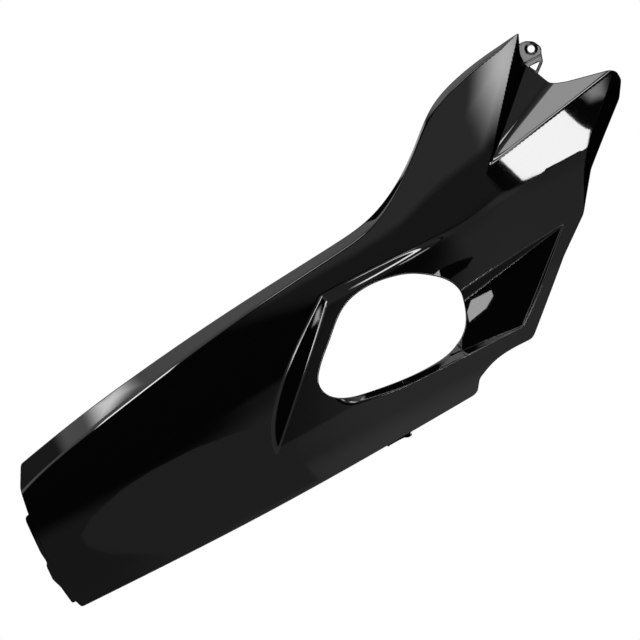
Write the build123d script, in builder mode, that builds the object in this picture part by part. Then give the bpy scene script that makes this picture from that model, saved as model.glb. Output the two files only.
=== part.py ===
import os
from math import hypot

from build123d import *

# Side panel of a scooter, one injection moulding in glossy black plastic, in millimetres.
# The layout frame has X along the straight lower edge, from the wide tabbed end to the notched
# end, and Z up from that edge. The outer face looks along -Y, so depths are measured that way
# from the rim plane at Y = 0. The finished panel is moved so that its fixing hole is the origin.

# Driving dimensions
wall = 2.8
stiffener_reach = 9.5
rib_thickness = 1.8
lip_step = 1.5
lip_thickness = 2.2
clip_depth = 6.0
tab_hole = 7.0
tab_thickness = 3.0
tab_depth = 16.0
tab_reach = 6.5
tab_drop = 17.8

# Height and depth of the crowned face at each station along X, foot to top
crown_stations = {
    -40: [(-20, 0), (20, 23), (60, 36.5), (105, 41.5), (150, 36.5), (200, 22)],
    140: [(-20, 2), (20, 25), (60, 38.5), (105, 43.5), (150, 41), (205, 30)],
    280: [(-20, 3), (20, 24.5), (60, 37.5), (105, 43), (150, 42.5), (215, 34)],
    400: [(-20, 2), (20, 23), (60, 36), (105, 42), (152, 43), (230, 40)],
    500: [(-20, -2), (20, 20), (60, 33), (105, 40.5), (147, 43), (260, 47)],
    600: [(-20, -8), (20, 14), (60, 28), (105, 38), (151, 43.5), (290, 56)],
    720: [(-20, -16), (20, 4), (60, 20), (105, 31), (155, 39), (300, 58)],
}

# Lowered face round the hole: height and depth of its foot, its top and the bevel above it
pocket_stations = {
    200: [(-20, 30.0), (146, 39.8), (186, 56)],
    240: [(-20, 29.6), (146, 39.6), (186, 56)],
    350: [(-20, 28.3), (146, 39.3), (186, 57)],
    425: [(-20, 25.6), (146, 40.4), (186, 58)],
    500: [(-20, 23.0), (151, 43.5), (191, 62)],
    600: [(-20, 19.2), (158, 40.6), (198, 60)],
    640: [(-20, 16.5), (159, 38.0), (199, 58)],
    740: [(-20, 8.0), (163, 30.9), (203, 50)],
}

# Bevels along the edges: outline point, crease point, and the depth at each
upper_band = [
    ((-25, 141), (-22, 124), 17, 33),
    ((14.5, 149.5), (18, 134), 18, 36),
    ((80.2, 161.8), (82.5, 145), 20, 39.5),
    ((145.4, 171.2), (147.5, 155.5), 22, 40),
    ((263.5, 183.5), (264.5, 172), 25, 40),
    ((378, 191.3), (379, 182.5), 29, 41.5),
    ((420.3, 196.7), (418, 188.5), 31, 42.5),
    ((458.2, 212.2), (453.5, 205.5), 33, 43.5),
    ((493.4, 236.8), (489, 230.5), 36, 45),
    ((526.5, 262.5), (523, 256.5), 39, 47.5),
    ((562.6, 275.7), (560.5, 271), 43, 50.5),
    ((610, 282), (609, 279.5), 50, 55),
]
return_strip = [
    ((722, 212), (712, 223), 6, 31),
    ((692, 184), (682.5, 195), 8, 37),
    ((660, 158), (651, 168), 12, 38),
    ((634, 137), (628.5, 141.5), 24, 37),
    ((606, 104), (603, 106.5), 38, 48),
]
hole_bevel = [
    ((305, 80), (296, 73), 37, 43),
    ((322, 57), (318, 51), 31, 34),
    ((344, 50.4), (342, 44.5), 28.5, 32.2),
    ((376, 45.6), (375, 39.5), 25, 30.4),
    ((409.6, 44), (409, 37.5), 19, 29.6),
    ((441, 45), (444, 36.8), 14, 28.2),
]

# Flat faces, each by three points of X, height and depth
fin_bevel = ((257.6, 59, 34.0), (329.5, 128, 38.4), (282.7, 104.3, 42.9))
facet = ((561, 188, 44.5), (569, 159, 42.3), (634, 152, 37.5))
channel_apex = (555, 192, 43)
channel_left = (channel_apex, (632.5, 284.5, 56.5), (626.5, 256, 23))
channel_floor = (channel_apex, (626.5, 256, 23), (638, 229.5, 25))
channel_right = (channel_apex, (638, 229.5, 25), (692, 211, 36.9))
recess_floor = ((504, 35, 24.5), (583, 103, 33.5), (466, 85, 21))
recess_upper = ((583, 103, 34.4), (472, 94, 36.0), (520, 91, 24))
recess_lower = ((504, 35.4, 25.6), (409, 37.5, 29.6), (450, 42.5, 17))

# Where the facet stops at the channel and the recess at the hole: a point, and which way it lies
facet_limit = ((626.5, 256), (0.658, -0.753))
recess_limit = ((425, 38), (0.8, -0.6))

# Outline of the panel in plan, run by run, from the top of the wide end round to it again
ridge_tip = (632.5, 284.5)
outline = [
    (Polyline, [(14.5, 149.5), (4.8, 129.6), (0.6, 105.7), (-3.6, 70), (-2.4, 9), (0, 0)]),
    (ThreePointArc, [(0, 0), (205, -5.5), (431, -1.2)]),
    (Polyline, [(431, -1.2), (436, 0.5), (443.5, 10.5)]),
    (Spline, [(443.5, 10.5), (462, 18), (505, 20.5)]),
    (Polyline, [(505, 20.5), (509, 22), (571, 76.5), (606, 102.5), (634, 137), (692, 184),
                (701.5, 199), (700, 207.5), (693.5, 212.5)]),
    (Polyline, [(693.5, 212.5), (653.4, 222.4), (643.5, 226), (638, 229.5), (633, 242),
                (626.5, 255), (625, 266), ridge_tip]),
    (Spline, [ridge_tip, (562.6, 275.7), (526.5, 262.5), (493.4, 236.8), (458.2, 212.2),
              (420.3, 196.7), (378, 191.3), (263.5, 183.5), (145.4, 171.2), (80.2, 161.8),
              (14.5, 149.5)]),
]
wide_end, lower_edge, mouth, upper_edge = 0, 1, 5, 6

# The inside runs on past the outline at the wide end and at the channel's mouth
past_wide_end = [(-60, 134), (-60, 2)]
inside_wide_end = [(40, 70)]
past_mouth = [(645, 310), (740, 235)]
inside_mouth = [(640, 195), (600, 240)]

hole_points = [(431, 132), (415, 137.2), (398, 140), (380.6, 139.6), (364, 135.3), (334, 112.4),
               (311, 91), (304.8, 80), (306.5, 68.5), (319.5, 57.2), (344, 50.4), (376, 45.6),
               (409.6, 44), (427, 45.7), (441, 50.5), (456.5, 63.6), (464, 79.5), (466.3, 95),
               (460.5, 109), (447, 122)]

# Tongues and ribs in plan, and the fixing tab as seen from its hole
lip_plan = [(12, 104), (-3.2, 103), (-5, 99.5), (-7.5, 66), (-6.8, 54), (-9, 52), (-10.3, 37),
            (-7.3, 27), (-5.8, 7.5), (12, 7.5)]
clip_plan = [(333, 4), (334, -5.6), (337, -5), (352, -5), (356.5, -7.2), (360.5, -6.4), (361.5, 4)]
rib_lines = [((70, 20), (70, 142)), ((140, 20), (140, 152)), ((205, 20), (205, 160))]
tab_plan = [(-17, 7.3), (-5.5, 10.3), (-1, 9.3), (5.7, 5.3), (9.5, -3.2), (6, -10.2), (4.6, -16.2),
            (-7, -25.2), (-17, -30.7), (-27, -16.7)]
tab_window = [(-9.5, -14.1), (1.5, -14.7), (-6.2, -20.7)]
tab_web = [(-26, -16.7), (-17, 7.3), (-14, 6.3), (-22.8, -17.2), (-14.4, -28.9), (-17, -30.7)]

tab_x = ridge_tip[0] + tab_reach
tab_z = ridge_tip[1] - tab_drop
tab_back = tab_depth - tab_thickness

# Room round the panel for the blocks that cut it
clear_depth = 120.0
clear_back = 40.0
clear_side = 20.0
clear_plan = (-100, -110, 800, 390)


def at(x, height, depth):
    return Vector(x, -depth, height)


def face_plane(points):
    # The plane through three points, its normal turned to the outer side
    first, second, third = (at(*point) for point in points)
    normal = (second - first).cross(third - first).normalized()
    if normal.Y > 0:
        normal = -normal
    return Plane(origin=first, x_dir=second - first, z_dir=normal)


def limit_plane(limit):
    # An upright plane through a point of the plan, with its kept side along the direction
    (x, height), (along_x, along_z) = limit
    return Plane(origin=at(x, height, 0), x_dir=(0, -1, 0), z_dir=(along_x, 0, along_z))


def section_plane(x):
    # Local x is height and local y is depth
    return Plane(origin=(x, 0, 0), x_dir=(0, 0, 1), z_dir=(1, 0, 0))


def moved_in(points, inset):
    # Each point of an open profile moved square to its neighbours' chord, into the material
    shifted = []
    last = len(points) - 1
    for i, (height, depth) in enumerate(points):
        before, after = points[max(i - 1, 0)], points[min(i + 1, last)]
        run, rise = after[0] - before[0], after[1] - before[1]
        length = hypot(run, rise)
        shifted.append((height + inset * rise / length, depth - inset * run / length))
    return shifted


def crowned_block(inset):
    with BuildPart() as block:
        for x, points in crown_stations.items():
            profile = moved_in(points, inset)
            foot, top = profile[0], profile[-1]
            with BuildSketch(section_plane(x)):
                with BuildLine():
                    Spline(*profile)
                    Polyline(top, (top[0], -clear_back), (foot[0], -clear_back), foot)
                make_face()
        loft()
    return block.part


def edge_bevel(stations, inset):
    # What a bevel takes off: a wedge over the line from outline to crease, carried on both ways
    with BuildPart() as wedge:
        for edge, crease, edge_depth, crease_depth in stations:
            across_x, across_z = crease[0] - edge[0], crease[1] - edge[1]
            width = hypot(across_x, across_z)
            rise = crease_depth - edge_depth
            slope = hypot(width, rise)
            shift_in, shift_down = inset * rise / slope, inset * width / slope
            low = (shift_in - 2 * width, edge_depth - shift_down - 2 * rise)
            high = (shift_in + 3 * width, edge_depth - shift_down + 3 * rise)
            side = low[0] - clear_side
            inward = Vector(across_x / width, 0, across_z / width)
            plane = Plane(origin=at(edge[0], edge[1], 0), x_dir=inward,
                          z_dir=(inward.Z, 0, -inward.X))
            with BuildSketch(plane):
                with BuildLine():
                    Polyline(low, high, (side, high[1]), (side, low[1]), close=True)
                make_face()
        loft()
    return wedge.part


def pocket_block(inset):
    # The space over the lowered face and its upper bevel, ended by the fin
    with BuildPart() as pocket:
        for x, points in pocket_stations.items():
            low, turn, high = moved_in(points, inset)
            with BuildSketch(section_plane(x)):
                with BuildLine():
                    Polyline(low, turn, high, (high[0], clear_depth), (low[0], clear_depth),
                             close=True)
                make_face()
        loft()
        split(bisect_by=face_plane(fin_bevel).offset(-inset), keep=Keep.TOP)
    return pocket.part


def space_above(faces, inset, limits=()):
    # The space outside a few flat faces at once, and on the kept side of each limit
    left, bottom, right, top = clear_plan
    with BuildPart() as space:
        with Locations(at((left + right) / 2, (bottom + top) / 2, 0)):
            Box(right - left, 2 * clear_depth, top - bottom)
        for points in faces:
            split(bisect_by=face_plane(points).offset(-inset), keep=Keep.TOP)
        for limit in limits:
            split(bisect_by=limit_plane(limit), keep=Keep.TOP)
    return space.part


def moved_in_loop(points, inset):
    # Corners of a closed loop, drawn with the material on its left, moved square to both sides
    shifted = []
    for i, (x, z) in enumerate(points):
        before, after = points[i - 1], points[(i + 1) % len(points)]
        first = Vector(before[1] - z, x - before[0]).normalized()
        second = Vector(z - after[1], after[0] - x).normalized()
        shift = (first + second) * (inset / (1 + first.dot(second)))
        shifted.append((x + shift.X, z + shift.Y))
    return shifted


def plan_runs(inset):
    corners = moved_in_loop([point for _, points in outline for point in points[:-1]], inset)
    runs, start = [], 0
    for curve, points in outline:
        runs.append((curve, [corners[(start + i) % len(corners)] for i in range(len(points))]))
        start += len(points) - 1
    return runs


def face_cutters(inset):
    # What is taken off the crowned face round the hole: the pocket, the bevel and the recess
    return [
        pocket_block(inset),
        edge_bevel(hole_bevel, inset),
        space_above((recess_floor, recess_upper, recess_lower), inset, [recess_limit]),
    ]


def panel_form(inset):
    # The outer form, or the space inside it, which is open at both ends and at the back
    crown = crowned_block(inset)
    taken_off = face_cutters(inset) + [
        edge_bevel(upper_band, inset),
        edge_bevel(return_strip, inset),
        space_above((facet,), inset, [facet_limit]),
        space_above((channel_left, channel_floor, channel_right), inset),
    ]
    runs = plan_runs(inset)
    with BuildPart() as form:
        with BuildSketch(Plane.XZ):
            with BuildLine():
                for curve, points in runs:
                    curve(*points)
            make_face()
            if inset:
                with BuildLine():
                    Polyline(runs[wide_end][1][0], *past_wide_end, runs[lower_edge][1][0],
                             *inside_wide_end, close=True)
                make_face()
                with BuildLine():
                    Polyline(runs[upper_edge][1][0], *past_mouth, runs[mouth][1][0],
                             *inside_mouth, close=True)
                make_face()
        extrude(amount=clear_depth, both=inset > 0)
        add(crown, mode=Mode.INTERSECT)
        for piece in taken_off:
            add(piece, mode=Mode.SUBTRACT, clean=False)
    return form.part


def plan_prism(points, low=0.0, height=clear_depth):
    # A polygon of the plan as a prism from one depth outwards
    with BuildPart() as prism:
        with BuildSketch(Plane.XZ.offset(low)):
            with BuildLine():
                Polyline(*points, close=True)
            make_face()
        extrude(amount=height)
    return prism.part


def rib_plan(start, end):
    along = Vector(end[0] - start[0], end[1] - start[1]).normalized()
    side = Vector(-along.Y, along.X) * (rib_thickness / 2)
    return [(start[0] + side.X, start[1] + side.Y), (end[0] + side.X, end[1] + side.Y),
            (end[0] - side.X, end[1] - side.Y), (start[0] - side.X, start[1] - side.Y)]


def from_hole(points):
    return [(tab_x + x, tab_z + z) for x, z in points]


outer_form = panel_form(0)
inner_form = panel_form(wall)

# What stands up from the skin inside: the rim that turns in round the hole, and the ribs
with BuildPart() as stiffener_floor:
    add(crowned_block(stiffener_reach))
    for piece in face_cutters(stiffener_reach):
        add(piece, mode=Mode.SUBTRACT, clean=False)

with BuildPart() as stiffeners:
    with BuildSketch(Plane.XZ):
        with BuildLine():
            Spline(*moved_in_loop(hole_points, -wall), periodic=True)
        make_face()
    extrude(amount=clear_depth)
    for start, end in rib_lines:
        add(plan_prism(rib_plan(start, end)))
    add(stiffener_floor.part, mode=Mode.SUBTRACT)

# The hollow behind the skin, less its ribs and the web that carries the fixing tab
with BuildPart() as hollow:
    add(inner_form)
    add(stiffeners.part, mode=Mode.SUBTRACT)
    add(plan_prism(from_hole(tab_web), tab_back), mode=Mode.SUBTRACT)

# The joggled lip that slides behind the next panel
with BuildPart() as lip:
    add(crowned_block(lip_step))
    add(crowned_block(lip_step + lip_thickness), mode=Mode.SUBTRACT)
    add(plan_prism(lip_plan), mode=Mode.INTERSECT)

# The fixing tab behind the channel, with its open brace
with BuildPart() as tab:
    add(plan_prism(from_hole(tab_plan), tab_back, tab_thickness))
    add(plan_prism(from_hole(tab_window)), mode=Mode.SUBTRACT)

with BuildPart() as side_panel:
    add(outer_form)
    add(hollow.part, mode=Mode.SUBTRACT)
    add(lip.part)
    add(tab.part)
    add(plan_prism(clip_plan, clip_depth, wall))
    with BuildSketch(Plane.XZ):
        with BuildLine():
            Spline(*hole_points, periodic=True)
        make_face()
        with Locations((tab_x, tab_z)):
            Circle(tab_hole / 2)
    extrude(amount=clear_depth, mode=Mode.SUBTRACT)

side_panel.part = side_panel.part.moved(Location((-tab_x, tab_depth, -tab_z)))
side_panel.part.label = "side_panel"
os.makedirs("parts", exist_ok=True)
export_step(side_panel.part, "parts/side_panel.step")
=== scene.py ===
import math

import bpy
import numpy as np
from mathutils import Matrix, Vector
from mathutils.geometry import delaunay_2d_cdt


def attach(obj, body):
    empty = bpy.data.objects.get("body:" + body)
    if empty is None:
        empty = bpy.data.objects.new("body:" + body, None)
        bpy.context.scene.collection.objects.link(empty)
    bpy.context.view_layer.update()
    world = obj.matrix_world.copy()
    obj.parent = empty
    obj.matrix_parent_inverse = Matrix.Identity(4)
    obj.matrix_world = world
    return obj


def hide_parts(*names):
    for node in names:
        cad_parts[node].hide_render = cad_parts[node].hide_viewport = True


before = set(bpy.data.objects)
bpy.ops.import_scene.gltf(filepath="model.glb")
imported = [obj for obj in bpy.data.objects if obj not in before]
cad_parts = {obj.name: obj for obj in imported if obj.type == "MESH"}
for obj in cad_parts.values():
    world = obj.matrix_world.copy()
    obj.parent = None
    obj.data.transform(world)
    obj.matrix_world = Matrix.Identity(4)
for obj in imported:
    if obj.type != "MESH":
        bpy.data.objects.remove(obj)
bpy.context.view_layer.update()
print("frame loaded:", sorted(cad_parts))

# The panel is drawn in its layout, in millimetres: x along the lower edge, z up from it and depth
# out of the face from the rim plane. The fixing hole is the origin of the frame.
layout = {
    "tabHole": (639.0, 266.7),
    "tabDepth": 16.0,
    "mm": 0.001,
}


def toFrame(x, depth, z):
    # plan positions and depths to points of the frame in metres
    originX, originZ = layout["tabHole"]
    return np.column_stack([x - originX, layout["tabDepth"] - depth, z - originZ]) * layout["mm"]


def splineThrough(knots, values):
    # natural cubic through the knots, straight on beyond both ends
    knots, values = np.asarray(knots, float), np.asarray(values, float)
    if values.ndim == 1:
        values = values[:, None]
    count, gaps = len(knots), np.diff(knots)
    system, pull = np.eye(count), np.zeros_like(values)
    steps = np.diff(values, axis=0) / gaps[:, None]
    for i in range(1, count - 1):
        system[i, i - 1:i + 2] = gaps[i - 1], 2 * (gaps[i - 1] + gaps[i]), gaps[i]
        pull[i] = 6 * (steps[i] - steps[i - 1])
    bend = np.linalg.solve(system, pull)
    startSlope = steps[0] - gaps[0] * bend[1] / 6
    endSlope = steps[-1] + gaps[-1] * bend[-2] / 6

    def read(x):
        inside = np.clip(x, knots[0], knots[-1])
        i = np.clip(np.searchsorted(knots, inside) - 1, 0, count - 2)
        gap = gaps[i][:, None]
        left, right = (knots[i + 1] - inside)[:, None], (inside - knots[i])[:, None]
        curve = (bend[i] * left**3 + bend[i + 1] * right**3) / (6 * gap)
        curve += (values[i] / gap - bend[i] * gap / 6) * left
        curve += (values[i + 1] / gap - bend[i + 1] * gap / 6) * right
        before, after = np.minimum(x - knots[0], 0), np.maximum(x - knots[-1], 0)
        return curve + before[:, None] * startSlope + after[:, None] * endSlope

    return read


# The outer face, by the surfaces that cut it: crown, pocket, bevels and flats, all (height, depth)
# or (x, height, depth), as the moulding has them
face = {
    "wall": 2.8,
    "crown": {
        -40: [(-20, 0), (20, 23), (60, 36.5), (105, 41.5), (150, 36.5), (200, 22)],
        140: [(-20, 2), (20, 25), (60, 38.5), (105, 43.5), (150, 41), (205, 30)],
        280: [(-20, 3), (20, 24.5), (60, 37.5), (105, 43), (150, 42.5), (215, 34)],
        400: [(-20, 2), (20, 23), (60, 36), (105, 42), (152, 43), (230, 40)],
        500: [(-20, -2), (20, 20), (60, 33), (105, 40.5), (147, 43), (260, 47)],
        600: [(-20, -8), (20, 14), (60, 28), (105, 38), (151, 43.5), (290, 56)],
        720: [(-20, -16), (20, 4), (60, 20), (105, 31), (155, 39), (300, 58)],
    },
    # lowered face round the hole: depth at its foot, height and depth of its turn, depth at its top
    "pocketFoot": -20,
    "pocketBevelWidth": 40,
    "pocket": {
        200: (30.0, 146, 39.8, 56),
        240: (29.6, 146, 39.6, 56),
        350: (28.3, 146, 39.3, 57),
        425: (25.6, 146, 40.4, 58),
        500: (23.0, 151, 43.5, 62),
        600: (19.2, 158, 40.6, 60),
        640: (16.5, 159, 38.0, 58),
        740: (8.0, 163, 30.9, 50),
    },
    # bevels along an edge: point on the edge, point on the crease, depth at each
    "upperBand": [
        ((-25, 141), (-22, 124), 17, 33),
        ((14.5, 149.5), (18, 134), 18, 36),
        ((80.2, 161.8), (82.5, 145), 20, 39.5),
        ((145.4, 171.2), (147.5, 155.5), 22, 40),
        ((263.5, 183.5), (264.5, 172), 25, 40),
        ((378, 191.3), (379, 182.5), 29, 41.5),
        ((420.3, 196.7), (418, 188.5), 31, 42.5),
        ((458.2, 212.2), (453.5, 205.5), 33, 43.5),
        ((493.4, 236.8), (489, 230.5), 36, 45),
        ((526.5, 262.5), (523, 256.5), 39, 47.5),
        ((562.6, 275.7), (560.5, 271), 43, 50.5),
        ((610, 282), (609, 279.5), 50, 55),
    ],
    "returnStrip": [
        ((722, 212), (712, 223), 6, 31),
        ((692, 184), (682.5, 195), 8, 37),
        ((660, 158), (651, 168), 12, 38),
        ((634, 137), (628.5, 141.5), 24, 37),
        ((606, 104), (603, 106.5), 38, 48),
    ],
    # how steeply a bevel rises past the ends of its edge, and how far from the edge it cuts
    "upperReach": (0.5, 50),
    "stripReach": (0.5, 50),
    "holeBevelReach": (3.0, 25),
    "holeBevel": [
        ((305, 80), (296, 73), 37, 43),
        ((322, 57), (318, 51), 31, 34),
        ((344, 50.4), (342, 44.5), 28.5, 32.2),
        ((376, 45.6), (375, 39.5), 25, 30.4),
        ((409.6, 44), (409, 37.5), 19, 29.6),
        ((441, 45), (444, 36.8), 14, 28.2),
    ],
    "fin": ((257.6, 59, 34.0), (329.5, 128, 38.4), (282.7, 104.3, 42.9)),
    "facet": ((561, 188, 44.5), (569, 159, 42.3), (634, 152, 37.5)),
    "channelLeft": ((555, 192, 43), (632.5, 284.5, 56.5), (626.5, 256, 23)),
    "channelFloor": ((555, 192, 43), (626.5, 256, 23), (638, 229.5, 25)),
    "channelRight": ((555, 192, 43), (638, 229.5, 25), (692, 211, 36.9)),
    "recessFloor": ((504, 35, 24.5), (583, 103, 33.5), (466, 85, 21)),
    "recessUpper": ((583, 103, 34.4), (472, 94, 36.0), (520, 91, 24)),
    "recessSide": ((504, 35.4, 25.2), (584.7, 103.1, 34.6), (542.4, 71.55, 25.4)),
    "recessLower": ((504, 35.4, 25.6), (409, 37.5, 29.6), (450, 42.5, 17)),
    "facetLimit": ((626.5, 256), (0.658, -0.753)),
    "recessLimit": ((425, 38), (0.8, -0.6)),
    "limitRise": 1.5,
    "insetNudge": 0.2,
    "borderSteep": 1000,       # a squared slope that is met only where a bevel's reach ends
    # rounding of each crease, as the depth over which two surfaces melt together
    "creaseRound": 0.9,
    "branchRound": 1.6,
    "bandRound": 2.2,
    "stripRound": 1.4,
    "channelRound": 1.2,
    "valleyRound": 3.0,
    "finRound": 0.6,
    "facetRound": 0.5,
    "recessRound": 0.8,
}


def crownSurface(stations):
    across = [splineThrough(*zip(*points)) for points in stations.values()]
    along = splineThrough(list(stations), np.eye(len(stations)))

    def read(x, z):
        weights = along(x)
        return sum(weights[:, i] * across[i](z)[:, 0] for i in range(len(across)))

    return read


def pocketSurfaces(stations, foot, bevelWidth):
    # the lowered face and the bevel that climbs from it to the crown
    along = splineThrough(list(stations), list(stations.values()))

    def lowered(x, z):
        footDepth, turnHeight, turnDepth, _ = along(x).T
        return footDepth + (turnDepth - footDepth) * (z - foot) / (turnHeight - foot)

    def bevel(x, z):
        _, turnHeight, turnDepth, topDepth = along(x).T
        return turnDepth + (topDepth - turnDepth) * (z - turnHeight) / bevelWidth

    return lowered, bevel


def flatSurface(points):
    slopes = np.linalg.solve([(x, z, 1) for x, z, _ in points], [depth for _, _, depth in points])
    return lambda x, z: slopes[0] * x + slopes[1] * z + slopes[2]


# Raster of the plan on which each spot's nearest place along an edge is first looked up
edgeGrid = {"x": (-80, 800), "z": (-60, 340), "cell": 4.0, "sampleStep": 2.0, "passes": 3,
            "ahead": 0.5, "beyond": 1000.0}


def edgeSurface(stations, endRise, reach):
    # a bevel along a curved edge; past its ends and beyond its reach it cuts nothing
    cell, step = edgeGrid["cell"], edgeGrid["ahead"]
    rows = np.array([(*edge, *crease, low, high) for edge, crease, low, high in stations], float)
    travel = np.append(0, np.cumsum(np.hypot(*np.diff(rows[:, :2], axis=0).T)))
    line, edgeLine = splineThrough(travel, rows), splineThrough(travel, rows[:, :2])
    marks = np.arange(0, travel[-1], edgeGrid["sampleStep"])
    cellX, cellZ = np.arange(*edgeGrid["x"], cell), np.arange(*edgeGrid["z"], cell)
    gridX, gridZ = (grid.ravel()[:, None] for grid in np.meshgrid(cellX, cellZ))
    edgePoints = edgeLine(marks)
    away = np.hypot(gridX - edgePoints[:, 0], gridZ - edgePoints[:, 1])
    nearest = np.argmin(away, axis=1)
    isNear = away.min(axis=1) < reach

    def read(x, z):
        column = np.clip(((x - cellX[0]) / cell + 0.5).astype(int), 0, len(cellX) - 1)
        row = np.clip(((z - cellZ[0]) / cell + 0.5).astype(int), 0, len(cellZ) - 1)
        spot = row * len(cellX) + column
        depth = np.full(len(x), edgeGrid["beyond"])
        near = isNear[spot]
        x, z, along = x[near], z[near], marks[nearest[spot[near]]]
        for _ in range(edgeGrid["passes"]):
            inside = np.clip(along, 0, travel[-1])
            foot, ahead = edgeLine(inside), edgeLine(inside + step)
            heading = (ahead - foot) / step
            along = inside + (x - foot[:, 0]) * heading[:, 0] + (z - foot[:, 1]) * heading[:, 1]
        inside = np.clip(along, 0, travel[-1])
        edgeX, edgeZ, creaseX, creaseZ, low, high = line(inside).T
        inX, inZ = heading[:, 1], -heading[:, 0]
        width = (creaseX - edgeX) * inX + (creaseZ - edgeZ) * inZ
        inward = (x - edgeX) * inX + (z - edgeZ) * inZ
        depth[near] = low + inward * (high - low) / width + np.abs(along - inside) * endRise
        return depth

    return read


def limitedSurface(points, limit):
    # a flat that cuts only on one side of a line in plan
    flat = flatSurface(points)
    (x0, z0), (alongX, alongZ) = limit

    def read(x, z):
        side = (x - x0) * alongX + (z - z0) * alongZ
        return flat(x, z) + np.maximum(-side, 0) * face["limitRise"]

    return read


def meltLow(a, b, span):
    mix = np.maximum(span - np.abs(a - b), 0) / span
    return np.minimum(a, b) - mix * mix * span / 4


def meltHigh(a, b, span):
    return -meltLow(-a, -b, span)


surfaces = {
    "crown": crownSurface(face["crown"]),
    "band": edgeSurface(face["upperBand"], *face["upperReach"]),
    "strip": edgeSurface(face["returnStrip"], *face["stripReach"]),
    "holeBevel": edgeSurface(face["holeBevel"], *face["holeBevelReach"]),
    "facet": limitedSurface(face["facet"], face["facetLimit"]),
    "recessFloor": limitedSurface(face["recessFloor"], face["recessLimit"]),
}
surfaces["pocket"], surfaces["pocketBevel"] = pocketSurfaces(
    face["pocket"], face["pocketFoot"], face["pocketBevelWidth"])
for name in ("fin", "channelLeft", "channelFloor", "channelRight", "recessUpper", "recessLower",
             "recessSide"):
    surfaces[name] = flatSurface(face[name])


def slopesOf(depthAt, x, z, nudge):
    slopeX = (depthAt(x + nudge, z) - depthAt(x - nudge, z)) / (2 * nudge)
    slopeZ = (depthAt(x, z + nudge) - depthAt(x, z - nudge)) / (2 * nudge)
    return slopeX, slopeZ


def normalsOf(depthAt, x, z, nudge):
    # unit normals out of a face, in the frame
    slopeX, slopeZ = slopesOf(depthAt, x, z, nudge)
    normals = np.column_stack([-slopeX, -np.ones(len(x)), -slopeZ])
    return normals / np.linalg.norm(normals, axis=1)[:, None]


def skinDepth(x, z, inset=0.0):
    # depth of the face, or of the face moved square into the wall
    x, z = np.asarray(x, float), np.asarray(z, float)

    def at(name):
        surface = surfaces[name]
        depth = surface(x, z)
        if not inset:
            return depth
        slopeX, slopeZ = slopesOf(surface, x, z, face["insetNudge"])
        steep = slopeX**2 + slopeZ**2
        return depth - inset * np.sqrt(1 + np.where(steep > face["borderSteep"], 0, steep))

    crease = face["creaseRound"]
    pocket = meltHigh(at("pocket"), at("pocketBevel"), face["branchRound"])
    pocket = meltHigh(pocket, at("fin"), face["finRound"])
    recess = meltHigh(at("recessFloor"), at("recessUpper"), face["recessRound"])
    recess = meltHigh(recess, at("recessLower"), face["recessRound"])
    recess = meltHigh(recess, at("recessSide"), face["recessRound"])
    channel = meltHigh(at("channelLeft"), at("channelFloor"), face["valleyRound"])
    channel = meltHigh(channel, at("channelRight"), face["valleyRound"])
    depth = meltLow(at("crown"), pocket, crease)
    depth = meltLow(depth, at("facet"), face["facetRound"])
    depth = meltLow(depth, at("holeBevel"), crease)
    depth = meltLow(depth, recess, crease)
    depth = meltLow(depth, channel, face["channelRound"])
    depth = meltLow(depth, at("strip"), face["stripRound"])
    return meltLow(depth, at("band"), face["bandRound"])


# Outline of the panel in plan, run by run; an open run has no return wall behind it
outline = [
    ("line", True, [(14.5, 149.5), (4.8, 129.6), (0.6, 105.7), (-3.6, 70), (-2.4, 9), (0, 0)]),
    ("curve", False, [(0, 0), (205, -5.5), (431, -1.2)]),
    ("line", False, [(431, -1.2), (436, 0.5), (443.5, 10.5)]),
    ("curve", False, [(443.5, 10.5), (462, 18), (505, 20.5)]),
    ("line", False, [(505, 20.5), (509, 22), (571, 76.5), (606, 102.5), (634, 137), (692, 184),
                     (701.5, 199), (700, 207.5), (693.5, 212.5)]),
    ("line", True, [(693.5, 212.5), (653.4, 222.4), (643.5, 226), (638, 229.5), (633, 242),
                    (626.5, 255), (625, 266), (632.5, 284.5)]),
    ("curve", False, [(632.5, 284.5), (562.6, 275.7), (526.5, 262.5), (493.4, 236.8),
                      (458.2, 212.2), (420.3, 196.7), (378, 191.3), (263.5, 183.5),
                      (145.4, 171.2), (80.2, 161.8), (14.5, 149.5)]),
]
hole = [(431, 132), (415, 137.2), (398, 140), (380.6, 139.6), (364, 135.3), (334, 112.4),
        (311, 91), (304.8, 80), (306.5, 68.5), (319.5, 57.2), (344, 50.4), (376, 45.6),
        (409.6, 44), (427, 45.7), (441, 50.5), (456.5, 63.6), (464, 79.5), (466.3, 95),
        (460.5, 109), (447, 122)]

skinMesh = {
    "loopStep": 1.3,           # spacing of the points along outline and hole
    "cornerPasses": 3,         # how often the corners of the outline are softened
    "edgeRound": 0.9,
    "holeRound": 1.2,
    "rimRound": 0.5,
    "rimBow": 0.3,             # share of the rim's radius at the middle of its rounding
    "wallLeast": 0.2,
    "openEdgeInset": 0.6,
    "innerLowest": 0.2,
    "holeReach": 9.5,          # depth of the rim that turns in round the hole
    "fineStep": 0.9,           # spacing of the points on a crease
    "innerStep": 2.0,
    "rimGap": 0.6,             # points nearer to a loop than this share of the spacing are left out
    "bendLimit": 0.02,         # curvature per millimetre that counts as a crease
    "finePixels": 3,
    "middlePixels": 7,
    "foldShare": 0.12,         # an edge that keeps less of its length than this has folded
    "margin": 2,
    "pointsAtOnce": 8000,
    "sameSpot": 1e-6,
    "normalNudge": 0.15,
    "sharpAngle": 38,          # edges sharper than this stay sharp
    "plateAngle": 50,
}


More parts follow.
